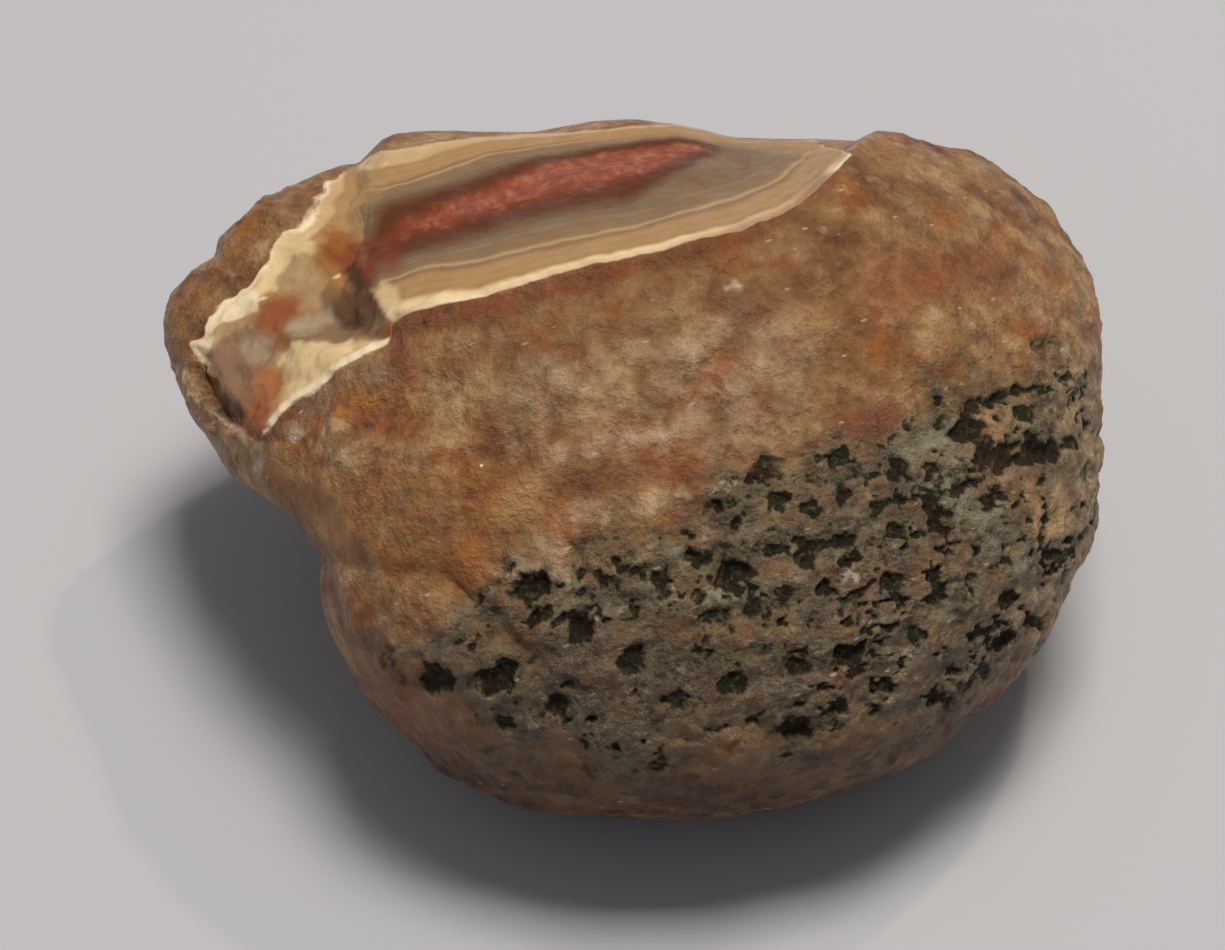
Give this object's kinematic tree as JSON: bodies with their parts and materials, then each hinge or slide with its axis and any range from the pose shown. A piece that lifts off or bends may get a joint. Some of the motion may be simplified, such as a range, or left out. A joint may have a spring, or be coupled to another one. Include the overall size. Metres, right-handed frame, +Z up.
{
  "type": "rough fortification agate",
  "caption": "Free-standing river-worn agate nodule, broken along its top and one end to show nested bands round a red core, pitted on its face.",
  "frame": {"origin": "under the middle of the stone's box, on the plane that it rests on", "axes": "+X from the broken end to the round end, +Y away from the pitted face, +Z up"},
  "size_m": [0.061, 0.0542, 0.0356],
  "materials": {
    "agate": "waxy river-worn chalcedony, dull to semi-gloss"
  },
  "bodies": {
    "root": {"agate_nodule": "agate"}
  },
  "joints": []
}
